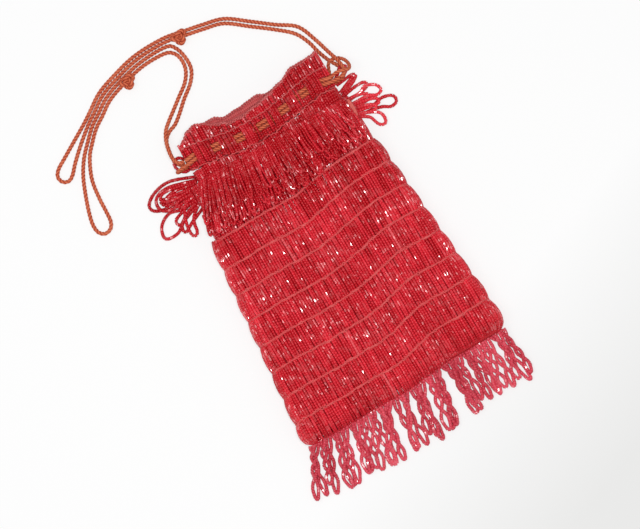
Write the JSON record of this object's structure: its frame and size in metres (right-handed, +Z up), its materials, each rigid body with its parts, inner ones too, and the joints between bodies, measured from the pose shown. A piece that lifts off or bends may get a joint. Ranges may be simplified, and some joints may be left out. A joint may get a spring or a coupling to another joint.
{
  "type": "coin purse",
  "caption": "Flat beaded drawstring coin purse lying on its back, with rows of glass bead bars on a knitted pouch, bead fringes at neck and bottom, and corded drawstrings through the neck.",
  "frame": {"origin": "centre of the purse's footprint, on the surface it lies on, with the free drawstrings left out", "axes": "+Y from the bottom fringe towards the mouth, +Z up out of the front face, +X to the right as seen from above"},
  "size_m": [0.1345, 0.1977, 0.0133],
  "materials": {
    "beads": "small glossy deep red glass beads, close together",
    "knit": "matt pinkish red knitting thread",
    "cord": "soft twisted orange-brown cord"
  },
  "bodies": {
    "pouch": {"knit_pouch": "knit", "bead_row_1": "beads", "bead_row_2": "beads", "bead_row_3": "beads", "bead_row_4": "beads", "bead_row_5": "beads", "bead_row_6": "beads", "bead_row_7": "beads", "bead_row_8": "beads", "bead_row_9": "beads", "bead_row_10": "beads", "ridge_threads": "knit", "neck_row": "beads", "neck_thread": "knit", "bottom_seam": "knit", "back_lip_knit": "knit", "back_posts": "beads", "back_heading": "beads", "back_edging": "knit", "left_cord_back_run": "cord", "right_cord_back_run": "cord", "left_cord_bight": "cord", "right_cord_bight": "cord", "skirt_back": "beads", "side_loops_left": "beads", "side_loops_right": "beads"},
    "front_lip": {"front_lip_knit": "knit", "front_posts": "beads", "front_heading": "beads", "front_edging": "knit", "left_cord_front_run": "cord", "right_cord_front_run": "cord"},
    "drawcords": {"left_cord_loop": "cord", "right_cord_loop": "cord", "left_cord_knot": "cord", "right_cord_knot": "cord"},
    "skirt": {"skirt_front": "beads"},
    "fringe_1": {"fringe_1": "beads"},
    "fringe_2": {"fringe_2": "beads"},
    "fringe_3": {"fringe_3": "beads"},
    "fringe_4": {"fringe_4": "beads"},
    "fringe_5": {"fringe_5": "beads"},
    "fringe_6": {"fringe_6": "beads"}
  },
  "joints": [
    {"name": "front_lip_open", "type": "hinge", "parent": "pouch", "child": "front_lip", "pos_m": [0.0022, 0.06209, 0.01], "axis": [1, 0, 0], "range_deg": [0, 35]},
    {"name": "drawcord_pull", "type": "slide", "parent": "pouch", "child": "drawcords", "axis": [0, 1, 0], "range_m": [0, 0.018]},
    {"name": "skirt_lift", "type": "hinge", "parent": "pouch", "child": "skirt", "pos_m": [0.0022, 0.05784, 0.0114], "axis": [-1, 0, 0], "range_deg": [0, 110]},
    {"name": "fringe_1_swing", "type": "hinge", "parent": "pouch", "child": "fringe_1", "pos_m": [-0.03825, -0.05686, 0.0038], "axis": [-1, 0, 0], "range_deg": [0, 80]},
    {"name": "fringe_2_swing", "type": "hinge", "parent": "pouch", "child": "fringe_2", "pos_m": [-0.02295, -0.05686, 0.0038], "axis": [-1, 0, 0], "range_deg": [0, 80]},
    {"name": "fringe_3_swing", "type": "hinge", "parent": "pouch", "child": "fringe_3", "pos_m": [-0.00765, -0.05686, 0.0038], "axis": [-1, 0, 0], "range_deg": [0, 80]},
    {"name": "fringe_4_swing", "type": "hinge", "parent": "pouch", "child": "fringe_4", "pos_m": [0.00765, -0.05686, 0.0038], "axis": [-1, 0, 0], "range_deg": [0, 80]},
    {"name": "fringe_5_swing", "type": "hinge", "parent": "pouch", "child": "fringe_5", "pos_m": [0.02295, -0.05686, 0.0038], "axis": [-1, 0, 0], "range_deg": [0, 80]},
    {"name": "fringe_6_swing", "type": "hinge", "parent": "pouch", "child": "fringe_6", "pos_m": [0.03825, -0.05686, 0.0038], "axis": [-1, 0, 0], "range_deg": [0, 80]}
  ]
}
